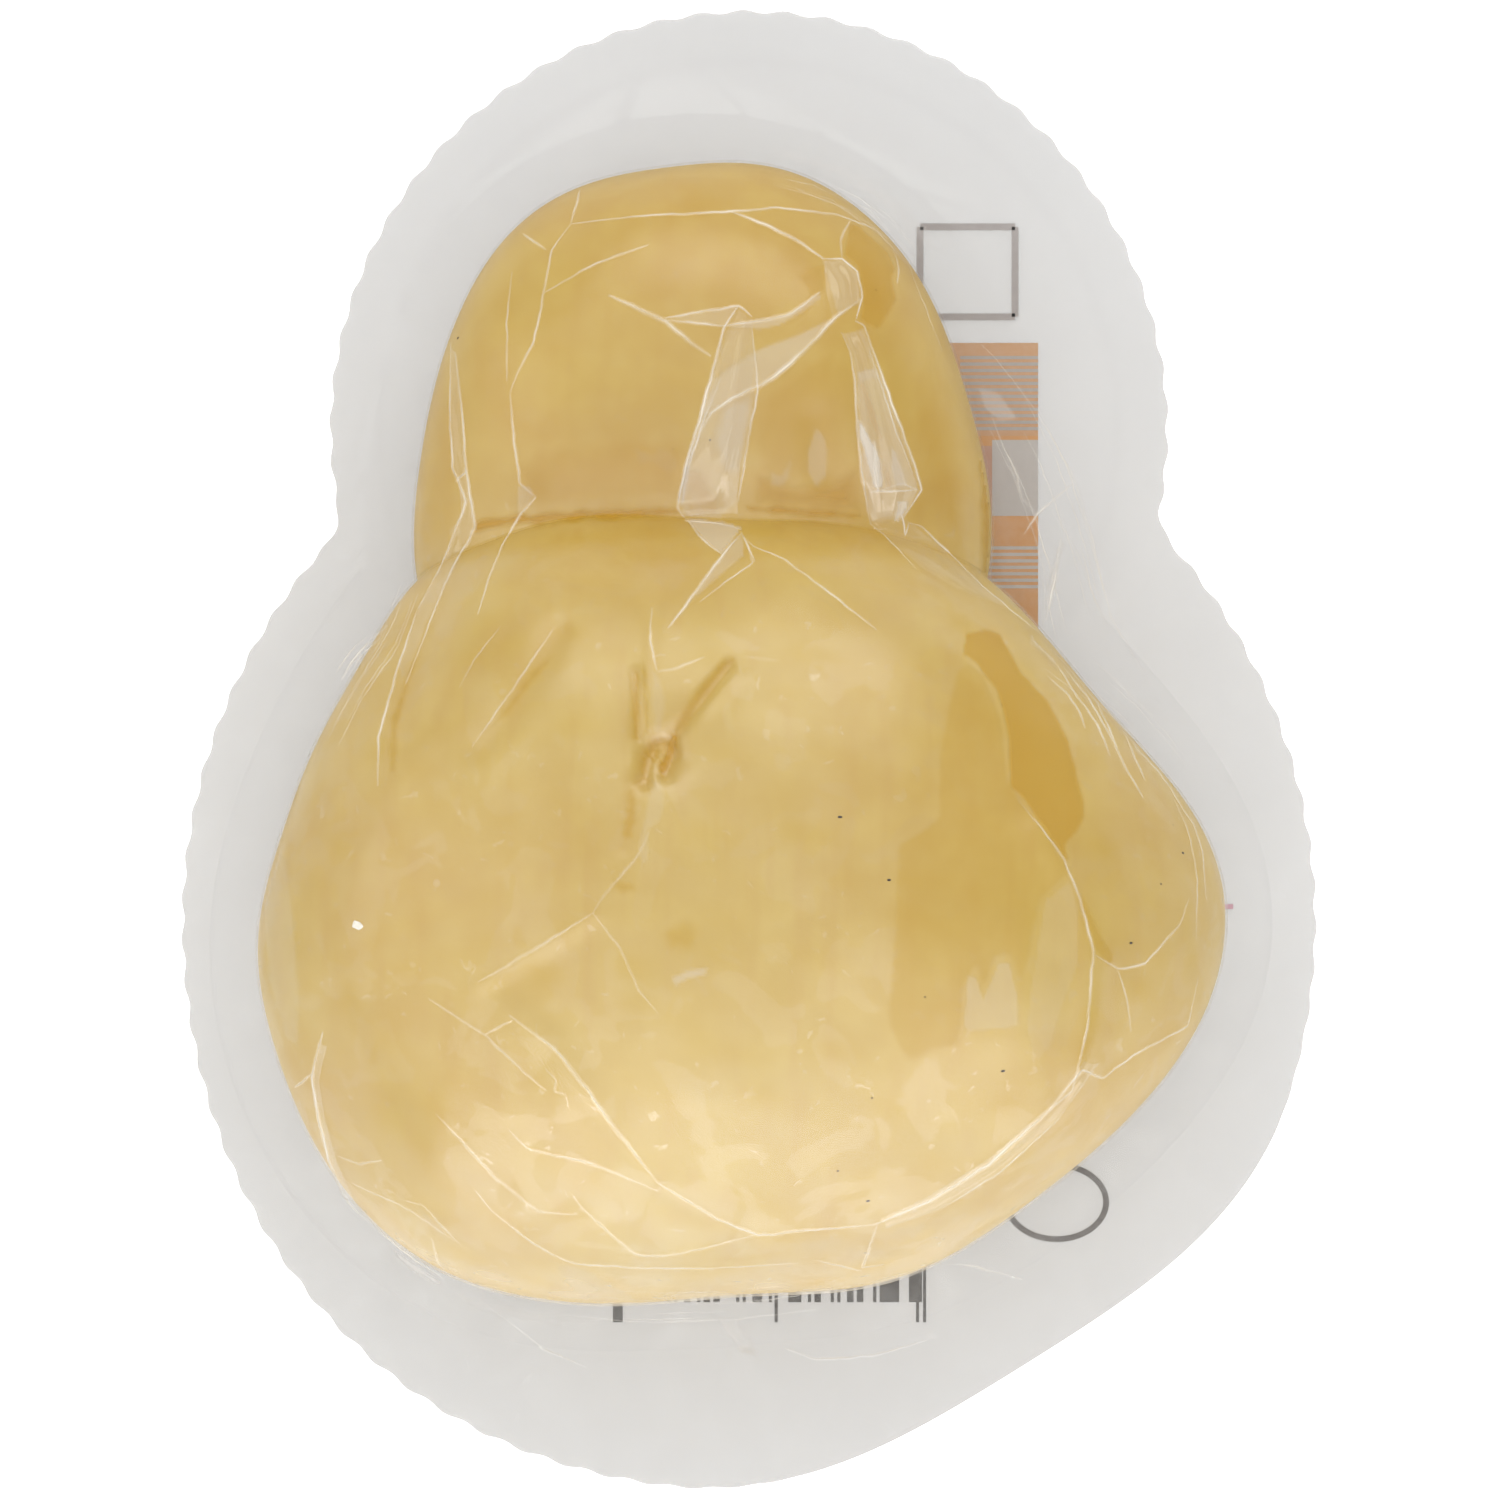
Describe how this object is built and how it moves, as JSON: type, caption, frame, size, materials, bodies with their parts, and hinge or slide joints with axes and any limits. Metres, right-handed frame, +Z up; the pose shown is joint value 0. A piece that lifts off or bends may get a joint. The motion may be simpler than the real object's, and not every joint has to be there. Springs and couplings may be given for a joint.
{
  "type": "vacuum-packed smoked scamorza cheese",
  "caption": "Pear-shaped smoked cheese, pinched at the neck, on a white backing sheet with a wavy edge under a clear film drawn tight over it.",
  "frame": {"origin": "middle of the pack's box, on the underside of the backing sheet", "axes": "+Z up from the sheet, through the cheese; +Y along the pack towards the cheese's head; +X to the right of it, seen from above"},
  "size_m": [0.109, 0.1419, 0.052],
  "materials": {
    "backing_sheet": "milky white plastic film, satin",
    "film_wrapped_scamorza": "amber smoked rind seen through a clear glossy film"
  },
  "bodies": {
    "root": {"backing_sheet": "backing_sheet", "film_wrapped_scamorza": "film_wrapped_scamorza"}
  },
  "joints": []
}
